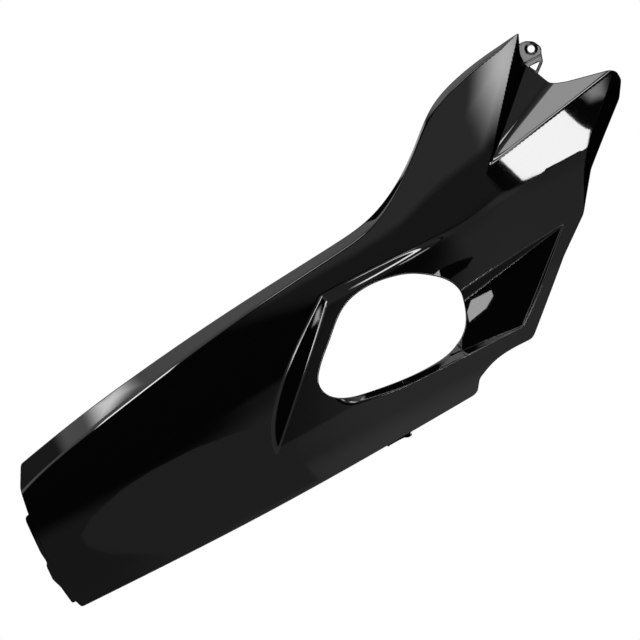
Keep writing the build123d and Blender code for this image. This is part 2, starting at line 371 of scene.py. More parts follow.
def sampleRun(kind, points, spacing):
    points = np.array(points, float)
    travel = np.append(0, np.cumsum(np.hypot(*np.diff(points, axis=0).T)))
    if kind == "curve":
        marks = np.linspace(0, travel[-1], max(2, round(travel[-1] / spacing)) + 1)
        return splineThrough(travel, points)(marks)[:-1]
    parts = []
    for start, end, length in zip(points[:-1], points[1:], np.diff(travel)):
        share = np.linspace(0, 1, max(1, round(length / spacing)) + 1)[:-1, None]
        parts.append(start + (end - start) * share)
    return np.concatenate(parts)


def sampleLoop(points, spacing, wrap=4):
    # smooth closed curve through the points
    around = np.array(points[-wrap:] + points + points[:wrap + 1], float)
    travel = np.append(0, np.cumsum(np.hypot(*np.diff(around, axis=0).T)))
    start, end = travel[wrap], travel[wrap + len(points)]
    marks = np.linspace(start, end, round((end - start) / spacing) + 1)[:-1]
    return splineThrough(travel, around)(marks)


def softenCorners(loop, passes):
    for _ in range(passes):
        loop = loop / 2 + (np.roll(loop, 1, axis=0) + np.roll(loop, -1, axis=0)) / 4
    return loop


def loopNormals(loop):
    # unit normals to the left of the way round
    heading = np.roll(loop, -1, axis=0) - np.roll(loop, 1, axis=0)
    heading /= np.linalg.norm(heading, axis=1)[:, None]
    return np.column_stack([-heading[:, 1], heading[:, 0]])


def shiftLoop(loop, distance, passes=40):
    # moved to the left by a distance; where a corner would fold, its points are spread out
    shifted = loop + loopNormals(loop) * np.broadcast_to(distance, len(loop))[:, None]
    edges = np.roll(loop, -1, axis=0) - loop
    for _ in range(passes):
        shiftedEdges = np.roll(shifted, -1, axis=0) - shifted
        kept = (edges * shiftedEdges).sum(axis=1) / (edges * edges).sum(axis=1)
        folded = kept < skinMesh["foldShare"]
        if not folded.any():
            break
        folded = folded | np.roll(folded, 1)
        smooth = (np.roll(shifted, 1, axis=0) + np.roll(shifted, -1, axis=0)) / 2
        shifted[folded] = smooth[folded]
    return shifted


def insideLoop(x, z, loop):
    inside = np.zeros(len(x), bool)
    for (x0, z0), (x1, z1) in zip(loop, np.roll(loop, -1, axis=0)):
        if z0 == z1:
            continue
        crossing = (z0 > z) != (z1 > z)
        inside ^= crossing & (x < (x1 - x0) * (z - z0) / (z1 - z0) + x0)
    return inside


def spread(mask, pixels):
    # grows a mask by some pixels each way
    grown = mask.copy()
    for _ in range(pixels):
        padded = np.pad(grown, 1)
        grown = (padded[1:-1, 1:-1] | padded[:-2, 1:-1] | padded[2:, 1:-1]
                 | padded[1:-1, :-2] | padded[1:-1, 2:])
    return grown


def creaseLevels(depthAt, low, high):
    # a raster of the plan, 1 mm a pixel: 1 on a crease, 2 beside one, 4 elsewhere
    xs, zs = np.arange(low[0], high[0], 1.0), np.arange(low[1], high[1], 1.0)
    gridX, gridZ = np.meshgrid(xs, zs)
    depth = depthAt(gridX.ravel(), gridZ.ravel()).reshape(gridX.shape)
    bend = np.zeros_like(depth)
    bend[:, 1:-1] = np.abs(depth[:, 2:] - 2 * depth[:, 1:-1] + depth[:, :-2])
    bend[1:-1] = np.maximum(bend[1:-1], np.abs(depth[2:] - 2 * depth[1:-1] + depth[:-2]))
    crease = bend > skinMesh["bendLimit"]
    levels = np.full(depth.shape, 4)
    levels[spread(crease, skinMesh["middlePixels"])] = 2
    levels[spread(crease, skinMesh["finePixels"])] = 1
    return levels


def gridPoints(loops, step, depthAt):
    # a triangular grid within the loops, finer along the creases if the depth is given
    margin = skinMesh["margin"]
    low, high = loops[0].min(axis=0) - margin, loops[0].max(axis=0) + margin
    rise = step * math.sqrt(0.75)
    rows = int((high[1] - low[1]) / rise) + 1
    columns = int((high[0] - low[0]) / step) + rows // 2 + 2
    column, row = np.meshgrid(np.arange(-(rows // 2), columns), np.arange(rows))
    column, row = column.ravel(), row.ravel()
    x, z = low[0] + step * (column + row / 2), low[1] + rise * row
    kept = (x > low[0]) & (x < high[0] - 1) & (z < high[1] - 1)
    column, row, x, z = column[kept], row[kept], x[kept], z[kept]
    level = np.ones(len(x), int)
    if depthAt:
        levels = creaseLevels(depthAt, low, high)
        level = levels[(z - low[1]).astype(int), (x - low[0]).astype(int)]
    kept = (column % level == 0) & (row % level == 0)
    x, z, level = x[kept], z[kept], level[kept]
    kept = insideLoop(x, z, loops[0])
    for loop in loops[1:]:
        kept &= ~insideLoop(x, z, loop)
    rim, parts = np.concatenate(loops), max(1, kept.sum() // skinMesh["pointsAtOnce"])
    for part in np.array_split(np.nonzero(kept)[0], parts):
        spots = np.column_stack([x[part], z[part]])
        away = ((spots[:, None] - rim[None])**2).sum(axis=2).min(axis=1)
        kept[part] = away > (skinMesh["rimGap"] * step * np.minimum(level[part], 2))**2
    return np.column_stack([x[kept], z[kept]])


def fillPlan(loops, step, depthAt=None):
    # triangles over the plan within the first loop and outside the others; gives also the places
    # of each loop's points
    points = np.concatenate([*loops, gridPoints(loops, step, depthAt)])
    starts = np.append(0, np.cumsum([len(loop) for loop in loops]))
    edges = []
    for start, loop in zip(starts, loops):
        count = len(loop)
        edges += [(int(start) + i, int(start) + (i + 1) % count) for i in range(count)]
    made = delaunay_2d_cdt([Vector(point) for point in points], edges, [], 1,
                           skinMesh["sameSpot"])
    plan = np.array([tuple(point) for point in made[0]])
    triangles = np.array(made[2])
    place = np.full(len(points), -1)
    for i, origins in enumerate(made[3]):
        for origin in origins:
            place[origin] = i
    for loop in loops[1:]:
        centre = plan[triangles].mean(axis=1)
        triangles = triangles[~insideLoop(centre[:, 0], centre[:, 1], loop)]
    a, b, c = (plan[triangles[:, i]] for i in range(3))
    turned = (b[:, 0] - a[:, 0]) * (c[:, 1] - a[:, 1]) - (b[:, 1] - a[:, 1]) * (c[:, 0] - a[:, 0])
    triangles[turned < 0] = triangles[turned < 0][:, ::-1]
    return plan, triangles, [place[i:j] for i, j in zip(starts[:-1], starts[1:])]


def addObject(name, data):
    item = bpy.data.objects.new(name, data)
    bpy.context.scene.collection.objects.link(item)
    return item


class MeshBuilder:
    # collects points and faces of one closed form before it becomes a mesh

    def __init__(self):
        self.points, self.faces, self.finishes = [], [], []
        self.count = 0

    def addPoints(self, plan, depth):
        self.points.append(toFrame(plan[:, 0], depth, plan[:, 1]))
        self.count += len(plan)
        return np.arange(self.count - len(plan), self.count)

    def addFaces(self, faces, finish):
        self.faces += [tuple(int(i) for i in corners) for corners in faces]
        self.finishes += [finish] * len(faces)

    def addSkin(self, plan, triangles, depthAt, finish):
        skin = self.addPoints(plan, depthAt(*plan.T))
        self.addFaces(skin[triangles], finish)
        return skin

    def addStrip(self, first, second, finish, flip=False):
        # quads from one ring of points to the next
        nextFirst, nextSecond = np.roll(first, -1), np.roll(second, -1)
        quads = np.column_stack([nextFirst, first, second, nextSecond])
        self.addFaces(quads[:, ::-1] if flip else quads, finish)

    def addRings(self, ring, rings, flip=False):
        # strips on from one ring of points through others, each with its plan, depth and finish
        for plan, depth, finish in rings:
            following = self.addPoints(plan, depth)
            self.addStrip(ring, following, finish, flip)
            ring = following
        return ring

    def makeObject(self, name, materials, sharpAngle=skinMesh["plateAngle"]):
        mesh = bpy.data.meshes.new(name)
        mesh.from_pydata(np.concatenate(self.points).tolist(), [], self.faces)
        for material in materials:
            mesh.materials.append(material)
        mesh.polygons.foreach_set("material_index", self.finishes)
        mesh.validate()
        mesh.shade_smooth()
        mesh.set_sharp_from_angle(angle=math.radians(sharpAngle))
        return addObject(name, mesh)


def roundEdge(builder, ring, inner, edge, radius, lowest, flip=False, steps=4):
    # rings that roll the skin over its edge onto the side wall
    start, corner = skinDepth(*inner.T), skinDepth(*edge.T)
    end = np.maximum(corner - radius, lowest + skinMesh["wallLeast"])
    rings = []
    for t in np.arange(1, steps + 1) / steps:
        a, b, c = (1 - t)**2, 2 * t * (1 - t), t * t
        rings.append((inner * a + edge * (b + c), start * a + corner * b + end * c, 0))
    return builder.addRings(ring, rings, flip)


def buildSkin(materials):
    # the moulded shell: outer face, rounded edges, return walls, rim and inner face, all closed
    settings = skinMesh
    runs = [(sampleRun(kind, points, settings["loopStep"]), isOpen)
            for kind, isOpen, points in outline]
    edge = softenCorners(np.concatenate([points for points, _ in runs]), settings["cornerPasses"])
    isOpen = np.concatenate([np.full(len(points), flag) for points, flag in runs])
    holeEdge = sampleLoop(hole, settings["loopStep"])
    top = shiftLoop(edge, settings["edgeRound"])
    holeTop = shiftLoop(holeEdge, -settings["holeRound"])
    plan, triangles, (edgePlaces, holePlaces) = fillPlan([top, holeTop], settings["fineStep"],
                                                         skinDepth)
    builder = MeshBuilder()
    skin = builder.addSkin(plan, triangles, skinDepth, 0)
    print("outer face:", len(plan), "points,", len(triangles), "triangles")

    # inner face, inset from the outline where there is a return wall
    wall = face["wall"]
    inside = shiftLoop(edge, np.where(isOpen, settings["openEdgeInset"], wall))
    holeInside = shiftLoop(holeEdge, -wall)

    def innerDepth(x, z):
        return np.maximum(skinDepth(x, z, wall), settings["innerLowest"])

    innerPlan, innerTriangles, (insidePlaces, holeInsidePlaces) = fillPlan(
        [inside, holeInside], settings["innerStep"], innerDepth)
    innerSkin = builder.addSkin(innerPlan, innerTriangles[:, ::-1], innerDepth, 1)
    print("inner face:", len(innerPlan), "points,", len(innerTriangles), "triangles")

    # side walls down to the rim plane, or only to the inner face along an open run
    rim = settings["rimRound"]
    bow = rim * settings["rimBow"]
    foot = np.where(isOpen, innerDepth(*inside.T), 0.0)
    ring = roundEdge(builder, skin[edgePlaces], top, edge, settings["edgeRound"], foot + rim)
    ring = builder.addRings(ring, [(edge, foot + rim, 0), (shiftLoop(edge, bow), foot + bow, 0),
                                   (shiftLoop(edge, rim), foot, 0), (inside, foot, 1)])
    builder.addStrip(ring, innerSkin[insidePlaces], 1)

    # the rim that turns in round the hole
    foot = np.maximum(skinDepth(*holeEdge.T) - settings["holeReach"], settings["innerLowest"])
    ring = roundEdge(builder, skin[holePlaces], holeTop, holeEdge, settings["holeRound"], foot,
                     True)
    ring = builder.addRings(ring, [(holeEdge, foot + rim, 0), (shiftLoop(holeEdge, -rim), foot, 0),
                                   (holeInside, foot, 1)], True)
    builder.addStrip(ring, innerSkin[holeInsidePlaces], 1, True)

    # exact normals on the outer face, so that its mirror images run smoothly
    piece = builder.makeObject("panelSkin", materials, settings["sharpAngle"])
    mesh = piece.data
    normals = np.zeros((len(mesh.loops), 3), np.float32)
    corner = np.zeros(len(mesh.loops), np.int32)
    mesh.loops.foreach_get("vertex_index", corner)
    isFace = corner < len(plan)
    normals[isFace] = normalsOf(skinDepth, *plan.T, settings["normalNudge"])[corner[isFace]]
    mesh.normals_split_custom_set(normals.tolist())
    return piece


def asLoop(points, spacing, passes):
    # a plan given by its corners, as a close row of points with softened corners, turning left
    loop = softenCorners(sampleRun("line", [*points, points[0]], spacing), passes)
    following = np.roll(loop, -1, axis=0)
    turn = (loop[:, 0] * following[:, 1] - following[:, 0] * loop[:, 1]).sum()
    return loop if turn > 0 else loop[::-1]


def levelAt(depth):
    return lambda x, z: np.full(len(x), depth)


def buildPlate(name, loops, front, back, settings, materials):
    # a closed plate between two depths, with its rims rounded front and back
    radius = settings["rimRound"]
    tops = [shiftLoop(loop, -radius if i else radius) for i, loop in enumerate(loops)]
    plan, triangles, places = fillPlan(tops, settings["step"])
    builder = MeshBuilder()
    frontSkin = builder.addSkin(plan, triangles, front, 0)
    backSkin = builder.addSkin(plan, triangles[:, ::-1], back, 0)
    drop = radius * (1 - math.sqrt(0.5))
    for i, (edge, top) in enumerate(zip(loops, tops)):
        high, low = front(*edge.T), back(*edge.T)
        between = top + (edge - top) * math.sqrt(0.5)
        ring = builder.addRings(frontSkin[places[i]],
                                [(between, high - drop, 0), (edge, high - radius, 0),
                                 (edge, low + radius, 0), (between, low + drop, 0)], i > 0)
        builder.addStrip(ring, backSkin[places[i]], 0, i > 0)
    return builder.makeObject(name, materials)


# Ribs stand on the inner face, with a soft foot and a slight draft; the section gives places
# across the rib and depths below the outer face
ribs = {
    "lines": {"ribFront": ((70, 20), (70, 142)), "ribMiddle": ((140, 20), (140, 152)),
              "ribRear": ((205, 20), (205, 160))},
    "lowest": 0.3,
    "foot": 2.5,
    "top": 9.5,
    "section": [(-2.3, 2.5), (-1.5, 2.95), (-1.05, 3.7), (-0.9, 6.0), (-0.78, 9.2), (-0.5, 9.5),
                (0.5, 9.5), (0.78, 9.2), (0.9, 6.0), (1.05, 3.7), (1.5, 2.95), (2.3, 2.5)],
    "spacing": 2.5,
    "endLength": 2,
    "endDrop": 0.25,
}


def buildRib(name, start, end, materials):
    start, end = np.array(start, float), np.array(end, float)
    length = np.linalg.norm(end - start)
    along = (end - start) / length
    side = np.array([-along[1], along[0]])
    shares = np.linspace(0, 1, round(length / ribs["spacing"]) + 1)
    fromEnd = np.minimum(shares, 1 - shares) * length
    drop = np.maximum(0, 1 - fromEnd / ribs["endLength"])**2 * ribs["endDrop"]
    across, reach = np.array(ribs["section"]).T
    spots = (start + (end - start) * shares[:, None])[:, None] + side * across[:, None]
    foot, top = ribs["foot"], ribs["top"]
    share = (reach - foot) * (1 - drop[:, None]) / (top - foot)
    high, low = (skinDepth(*spots.reshape(-1, 2).T, inset).reshape(share.shape)
                 for inset in (foot, top))
    depth = np.maximum(high + (low - high) * share, ribs["lowest"])
    builder = MeshBuilder()
    rings = [builder.addPoints(*ring) for ring in zip(spots, depth)]
    for ring, following in zip(rings[:-1], rings[1:]):
        builder.addStrip(ring, following, 0, True)
    builder.addFaces([rings[0], rings[-1][::-1]], 0)
    return builder.makeObject(name, materials)


# The fixing tab, measured from its hole: a plate with a collar and a raised brace over a window
tab = {
    "holeWidth": 7.0,
    "holeSides": 40,
    "corners": [(-17, 7.3), (-5.5, 10.3), (-1, 9.3), (5.7, 5.3), (9.5, -3.2), (6, -10.2),
                (4.6, -16.2), (-7, -25.2), (-17, -30.7), (-27, -16.7)],
    "window": [(-9.5, -14.1), (1.5, -14.7), (-6.2, -20.7)],
    "web": [(-26, -16.7), (-17, 7.3), (-14, 6.3), (-22.8, -17.2), (-14.4, -28.9), (-17, -30.7)],
    "front": 16.0,
    "back": 13.0,
    "webBack": 13.4,
    "webBite": 0.5,             # how far the web reaches into the skin
    "collar": (5.4, 0.45),      # its outside radius and how far it stands up
    "collarEdge": (-0.5, 0.3),
    "brace": ((-18.5, -8.6), (6.5, -8.6), 1.1),     # the line where it steps up, and the step
    "braceEdge": (-0.3, 1.1),
    "rimRound": 0.5,
    "step": 0.7,
    "loop": (0.8, 10),          # spacing of the outline's points, and how much its corners soften
    "windowLoop": (0.5, 3),
    "webLoop": (0.9, 2),
}
surfaces["tab"] = levelAt(tab["front"])

# The joggled lip at the wide end, and the small clip on the lower edge
lip = {
    "corners": [(12, 104), (-3.2, 103), (-5, 99.5), (-7.5, 66), (-6.8, 54), (-9, 52),
                (-10.3, 37), (-7.3, 27), (-5.8, 7.5), (12, 7.5)],
    "joggle": 1.5,
    "thickness": 2.2,
    "lowest": (1.2, 0.1),       # of its front and of its back
    "rimRound": 0.4,
    "step": 1.6,
    "loop": (1.4, 2),
}
clip = {
    "corners": [(333, 4), (334, -5.6), (337, -5), (352, -5), (356.5, -7.2), (360.5, -6.4),
                (361.5, 4)],
    "back": 6.0,
    "front": 8.8,
    "rimRound": 0.4,
    "step": 0.8,
    "loop": (0.7, 2),
}


def circle(sides):
    turns = np.linspace(0, 2 * math.pi, sides + 1)[:-1]
    return np.column_stack([np.cos(turns), np.sin(turns)])


def smoothStep(values, low, high):
    share = np.clip((values - low) / (high - low), 0, 1)
    return share * share * (3 - 2 * share)


def tabFront(x, z):
    holeX, holeZ = layout["tabHole"]
    radius, collarRise = tab["collar"]
    low, high = tab["collarEdge"]
    fromHole = np.hypot(x - holeX, z - holeZ)
    collar = collarRise * (1 - smoothStep(fromHole, radius + low, radius + high))
    (x0, z0), (x1, z1), rise = tab["brace"]
    turn = math.atan2(z1 - z0, x1 - x0)
    below = (x - holeX - x0) * math.sin(turn) - (z - holeZ - z0) * math.cos(turn)
    return tab["front"] + collar + rise * smoothStep(below, *tab["braceEdge"])


def buildTab(materials):
    centre = np.array(layout["tabHole"])
    loop = asLoop(np.array(tab["corners"]) + centre, *tab["loop"])
    window = asLoop(np.array(tab["window"]) + centre, *tab["windowLoop"])
    webLoop = asLoop(np.array(tab["web"]) + centre, *tab["webLoop"])
    bore = centre + tab["holeWidth"] / 2 * circle(tab["holeSides"])
    plate = buildPlate("fixingTab", [loop, bore, window], tabFront, levelAt(tab["back"]), tab,
                       materials)
    web = buildPlate("tabWeb", [webLoop],
                     lambda x, z: skinDepth(x, z, face["wall"]) + tab["webBite"],
                     levelAt(tab["webBack"]), tab, materials)
    return plate, web


def buildLip(materials):
    def lowered(by, lowest):
        return lambda x, z: np.maximum(surfaces["crown"](x, z) - by, lowest)

    frontLowest, backLowest = lip["lowest"]
    return buildPlate("endLip", [asLoop(lip["corners"], *lip["loop"])],
                      lowered(lip["joggle"], frontLowest),
                      lowered(lip["joggle"] + lip["thickness"], backLowest), lip, materials)


def buildClip(materials):
    return buildPlate("edgeClip", [asLoop(clip["corners"], *clip["loop"])],
                      levelAt(clip["front"]), levelAt(clip["back"]), clip, materials)


# Finishes: one group of moulded-surface effects, used by the gloss face and the satin back
finishes = {
    "gloss": {"colour": (0.0012, 0.0012, 0.0013), "dust": (0.03, 0.03, 0.031), "roughness": 0.022,
              "dustRoughness": 0.22, "peelSize": 95.0, "peelHeight": 0.008, "dustAmount": 0.05,
              "flowHeight": 0.06, "bumpDistance": 0.0005, "ior": 1.55},
    "satin": {"colour": (0.009, 0.009, 0.0095), "dust": (0.05, 0.05, 0.05), "roughness": 0.4,
              "dustRoughness": 0.62, "peelSize": 900.0, "peelHeight": 0.5, "dustAmount": 0.35,
              "flowHeight": 0.1, "bumpDistance": 0.0004, "ior": 1.5},
}
# The group's inputs, by the names of the settings
effectInputs = {"Peel Size": "peelSize", "Peel Height": "peelHeight", "Flow Height": "flowHeight",
                "Dust Amount": "dustAmount", "Roughness": "roughness",
                "Dust Roughness": "dustRoughness"}
# Its noises, and how the broad drift and the fine specks make dust
noises = {
    "peel": {"Detail": 2.0, "Roughness": 0.45},
    "flow": {"Scale": 9.0, "Detail": 1.0},
    "specks": {"Scale": 1400.0, "Detail": 3.0},
    "drift": {"Scale": 14.0, "Detail": 4.0, "Roughness": 0.6},
}
dusting = {"patchSpan": (0.42, 0.72), "dotSpan": (0.62, 0.74), "patchShare": 0.75,
           "evenShare": 0.5, "patchHaze": 0.06}


def addNode(tree, kind, inputs=None, **values):
    node = tree.nodes.new(kind)
    for name, value in values.items():
        setattr(node, name, value)
    for name, value in (inputs or {}).items():
        if isinstance(value, bpy.types.NodeSocket):
            tree.links.new(value, node.inputs[name])
        else:
            node.inputs[name].default_value = value
    return node


def addMath(tree, operation, *values, clamp=False):
    return addNode(tree, "ShaderNodeMath", dict(enumerate(values)), operation=operation,
                   use_clamp=clamp).outputs[0]


def addRamp(tree, value, low, high):
    return addNode(tree, "ShaderNodeMapRange", {"Value": value, "From Min": low, "From Max": high},
                   interpolation_type="SMOOTHSTEP").outputs["Result"]


def buildMouldedGroup():
    # fine orange peel, slow flow waves and settled dust of a moulded surface
    group = bpy.data.node_groups.new("mouldedSurface", "ShaderNodeTree")
    for name in effectInputs:
        group.interface.new_socket(name, in_out="INPUT", socket_type="NodeSocketFloat")
    for name in ("Dust", "Height", "Roughness"):
        group.interface.new_socket(name, in_out="OUTPUT", socket_type="NodeSocketFloat")
    given = group.nodes.new("NodeGroupInput").outputs
    place = addNode(group, "ShaderNodeTexCoord").outputs["Object"]

    def noise(name, **inputs):
        inputs = {"Vector": place, **noises[name], **inputs}
        return addNode(group, "ShaderNodeTexNoise", inputs).outputs["Fac"]

    patches = addRamp(group, noise("drift"), *dusting["patchSpan"])
    dots = addRamp(group, noise("specks"), *dusting["dotSpan"])
    cover = addMath(group, "MULTIPLY_ADD", patches, dusting["patchShare"], dusting["evenShare"])
    dust = addMath(group, "MULTIPLY", cover, dots)
    dust = addMath(group, "MULTIPLY", dust, given["Dust Amount"], clamp=True)
    peel = addMath(group, "MULTIPLY", noise("peel", Scale=given["Peel Size"]), given["Peel Height"])
    flow = addMath(group, "MULTIPLY", noise("flow"), given["Flow Height"])
    height = addMath(group, "ADD", peel, flow)
    haze = addMath(group, "MAXIMUM", dust,
                   addMath(group, "MULTIPLY", patches, dusting["patchHaze"]))
    span = addMath(group, "SUBTRACT", given["Dust Roughness"], given["Roughness"])
    rough = addMath(group, "ADD", given["Roughness"], addMath(group, "MULTIPLY", haze, span),
                    clamp=True)
    addNode(group, "NodeGroupOutput", {"Dust": dust, "Height": height, "Roughness": rough})
    return group


def buildFinish(name, settings, group):
    material = bpy.data.materials.new(name)
    material.use_nodes = True
    tree = material.node_tree
    shader = tree.nodes["Principled BSDF"]
    shader.inputs["IOR"].default_value = settings["ior"]
    effects = addNode(tree, "ShaderNodeGroup", node_tree=group)
    for socket, key in effectInputs.items():
        effects.inputs[socket].default_value = settings[key]
    colour = addNode(tree, "ShaderNodeMix",
                     {"Factor": effects.outputs["Dust"], "A": (*settings["colour"], 1),
                      "B": (*settings["dust"], 1)}, data_type="RGBA")
    bump = addNode(tree, "ShaderNodeBump", {"Distance": settings["bumpDistance"],
                                            "Height": effects.outputs["Height"]})
    tree.links.new(colour.outputs["Result"], shader.inputs["Base Color"])
    tree.links.new(effects.outputs["Roughness"], shader.inputs["Roughness"])
    tree.links.new(bump.outputs["Normal"], shader.inputs["Normal"])
    return material


moulded = buildMouldedGroup()
glossFinish = buildFinish("glossBlack", finishes["gloss"], moulded)
satinFinish = buildFinish("satinBlack", finishes["satin"], moulded)
print("finishes ready")

skinPiece = buildSkin([glossFinish, satinFinish])
pieces = [skinPiece, *buildTab([glossFinish]), buildLip([glossFinish]), buildClip([glossFinish])]
pieces += [buildRib(name, *ends, [satinFinish]) for name, ends in ribs["lines"].items()]
for piece in pieces:
    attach(piece, "root")
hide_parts("side_panel")
print("pieces:", ", ".join(piece.name for piece in pieces))

# Camera: long lens square to the rim plane, rolled as the photograph shows the panel
view = {"centre": (334.9, 133.9), "imageWidth": 614.4, "roll": 28.5, "lens": 200.0,
        "sensor": 36.0, "faceDepth": 36.0, "clip": (0.05, 60)}
camData = bpy.data.cameras.new("photoCamera")
camData.lens, camData.sensor_width = view["lens"], view["sensor"]
camData.clip_start, camData.clip_end = view["clip"]
camera = addObject("photoCamera", camData)
distance = view["imageWidth"] * view["lens"] / view["sensor"]
centreX, centreZ = view["centre"]
eye = toFrame(centreX, view["faceDepth"] + distance, centreZ)[0]
camera.matrix_world = (Matrix.Translation(eye) @ Matrix.Rotation(math.radians(view["roll"]), 4, "Y")
                       @ Matrix.Rotation(math.radians(90), 4, "X"))
bpy.context.scene.camera = camera

# Light cards: each is a shape that the gloss face mirrors, given by the patch in layout
# millimetres where it is seen, the surface it is seen on, its distance from there in metres, its
# brightness, and the share of its size over which its edge fades out and in
cards = {
    "facetCard": {
        "on": "facet", "away": 0.8, "strength": 19.0, "fade": (0.0, 0.0),
        "patch": [(559.5, 188), (597.2, 194.6), (635.9, 200.9), (639.7, 188.3), (646.2, 174.1),
                  (650, 170.3), (642, 160.4), (634.2, 152.1), (610.2, 152.2), (569.2, 159)]},
    "facetGlow": {
        "on": "facet", "away": 0.8, "strength": 4.0, "fade": (0.9, 0.1),
        "patch": [(650, 214), (692, 210), (682, 188), (660, 192)]},
    "tongueCard": {
        "on": "crown", "away": 1.6, "strength": 0.25, "fade": (0.03, 0.02),
        "patch": [(34.7, 62), (49.7, 71.3), (67.9, 76.7), (93.8, 82.3), (124.4, 84.3),
                  (170.8, 83.2), (211.4, 77.5), (251.1, 70.1), (262, 62), (262, -2), (129.2, -3.5),
                  (113.2, -4.7), (76.2, 17.6), (48.8, 33.6), (34.8, 49.9)]},
    "wingGlow": {
        "on": "crown", "away": 0.36, "strength": 9.0, "fade": (0.95, 0.2),
        "patch": [(658, 324), (629, 323), (586, 288), (558, 243), (556, 212), (587, 214),
                  (630, 248), (658, 293)]},
    "wingCard": {
        "on": "crown", "away": 0.4, "strength": 0.42, "fade": (0.14, 0.1),
        "patch": [(553, 200), (569, 222), (582, 235), (607, 262), (629, 285), (612, 300),
                  (560, 290), (500, 250), (440, 207), (380, 196), (290, 186), (300, 172),
                  (390, 173), (443, 177), (484, 189), (520, 196)]},
    "middleCard": {
        "on": "crown", "away": 0.45, "strength": 0.15, "fade": (0.3, 0.2),
        "patch": [(250, 190), (262, 168), (330, 152), (400, 146), (480, 144), (560, 152),
                  (592, 170), (590, 190), (553, 200), (520, 198), (443, 182), (340, 186)]},
    "rimCard": {
        "on": "recessFloor", "away": 0.25, "strength": 7.0, "fade": (0.0, 0.0),
        "patch": [(463.4, 72.8), (472.3, 81.1), (493.7, 80.4), (492.7, 74.4), (481.3, 67.5),
                  (460.5, 63.5)]},
    "bandGlow": {
        "on": "band", "away": 0.5, "strength": 8.5, "fade": (0.9, 0.3),
        "patch": [(94, 166), (114, 168), (146, 172), (150, 162), (114, 148), (94, 142)]},
    "recessFlag": {
        "on": "recessUpper", "away": 0.3, "strength": 0.0, "fade": (0.0, 0.3),
        "patch": [(583, 104), (525, 101), (470, 95), (462, 84), (500, 86), (560, 98)]},
    "wedgeFlag": {
        "on": "pocket", "away": 0.5, "strength": 0.0, "fade": (0.0, 0.1),
        "patch": [(452, 121), (493, 117), (482, 111), (464, 109)]},
    "bevelFlag": {
        "on": "holeBevel", "away": 0.35, "strength": 0.0, "fade": (0.0, 0.2),
        "patch": [(340, 51), (376, 45.6), (409.6, 44), (441, 45), (444, 36.8), (409, 37.5),
                  (375, 39.5), (338, 45)]},
    "finGlow": {
        "on": "fin", "away": 0.45, "strength": 6.0, "fade": (0.6, 0.2),
        "patch": [(324, 131), (336, 143), (343, 146), (334, 134)]},
    "tabCard": {
        "on": "tab", "away": 0.8, "strength": 5.0, "fade": (0.6, 0.25),
        "patch": [(618, 280), (660, 284), (660, 250), (620, 244)]},
}

# Light bars, given by their corners in metres: they draw the bright lines along the creases
bars = {
    "overheadBar": {
        "strength": 5.6, "fade": (0.15, 0.0),
        "corners": [(-0.52, -1.1, 1.02), (0.16, -1.1, 1.02), (0.16, -0.6, 1.1),
                    (-0.52, -0.6, 1.1)]},
    "bandFlag": {
        "strength": 0.12, "fade": (0.2, 0.0),
        "corners": [(-1.0, -0.1, 0.44), (-0.725, -0.1, 0.44), (-0.725, 0.3, 0.44),
                    (-1.0, 0.3, 0.44)]},
    "creaseBar": {
        "strength": 18.0, "fade": (0.15, 0.0),
        "corners": [(-0.585, -0.22, 0.0), (-0.475, -0.22, 0.0), (-0.485, -0.2, 0.14),
                    (-0.6, -0.2, 0.14)]},
    "ridgeBar": {
        "strength": 12.0, "fade": (0.2, 0.0),
        "corners": [(-0.03, -0.88, 0.28), (0.2, -0.88, 0.28), (0.2, -0.82, 0.46),
                    (-0.03, -0.82, 0.46)]},
    "branchBar": {
        "strength": 16.0, "fade": (0.3, 0.0),
        "corners": [(-0.27, -0.28, -0.295), (-0.12, -0.28, -0.305), (-0.12, -0.28, -0.27),
                    (-0.27, -0.28, -0.26)]},
    "finBar": {
        "strength": 10.0, "fade": (0.2, 0.0),
        "corners": [(-0.13, -0.9, -0.54), (-0.05, -0.9, -0.54), (-0.05, -0.9, -0.46),
                    (-0.13, -0.9, -0.46)]},
    "underFlag": {
        "strength": 0.0, "fade": (0.0, 0.0),
        "corners": [(-0.8, 0.0, -0.42), (0.2, 0.0, -0.42), (0.2, 0.6, -0.5), (-0.8, 0.6, -0.5)]},
}
key = {"place": (-0.1, -1.3, 1.3), "target": (-0.3, 0, -0.2), "size": 0.9, "power": 22.0}
mirrorNudge = 0.5


def mirrorSpots(patch, away, depthAt):
    # where the camera's rays go on to from points of a surface of the gloss face
    x, z = np.array(patch, float).T
    normals = normalsOf(depthAt, x, z, mirrorNudge)
    spots = toFrame(x, depthAt(x, z), z)
    rays = spots - eye
    rays /= np.linalg.norm(rays, axis=1)[:, None]
    rays -= 2 * (rays * normals).sum(axis=1)[:, None] * normals
    return spots + rays * away


def lightMaterial(name, strength):
    # shines by the card's own glow attribute and is clear where that is nought
    material = bpy.data.materials.new(name)
    material.use_nodes = True
    tree = material.node_tree
    tree.nodes.clear()
    glow = addNode(tree, "ShaderNodeEmission", {"Strength": strength}).outputs[0]
    clear = addNode(tree, "ShaderNodeBsdfTransparent").outputs[0]
    share = addNode(tree, "ShaderNodeAttribute", attribute_name="glow").outputs["Fac"]
    mixed = addNode(tree, "ShaderNodeMixShader",
                    {0: addRamp(tree, share, 0.0, 1.0), 1: clear, 2: glow})
    addNode(tree, "ShaderNodeOutputMaterial", {"Surface": mixed.outputs[0]})
    return material


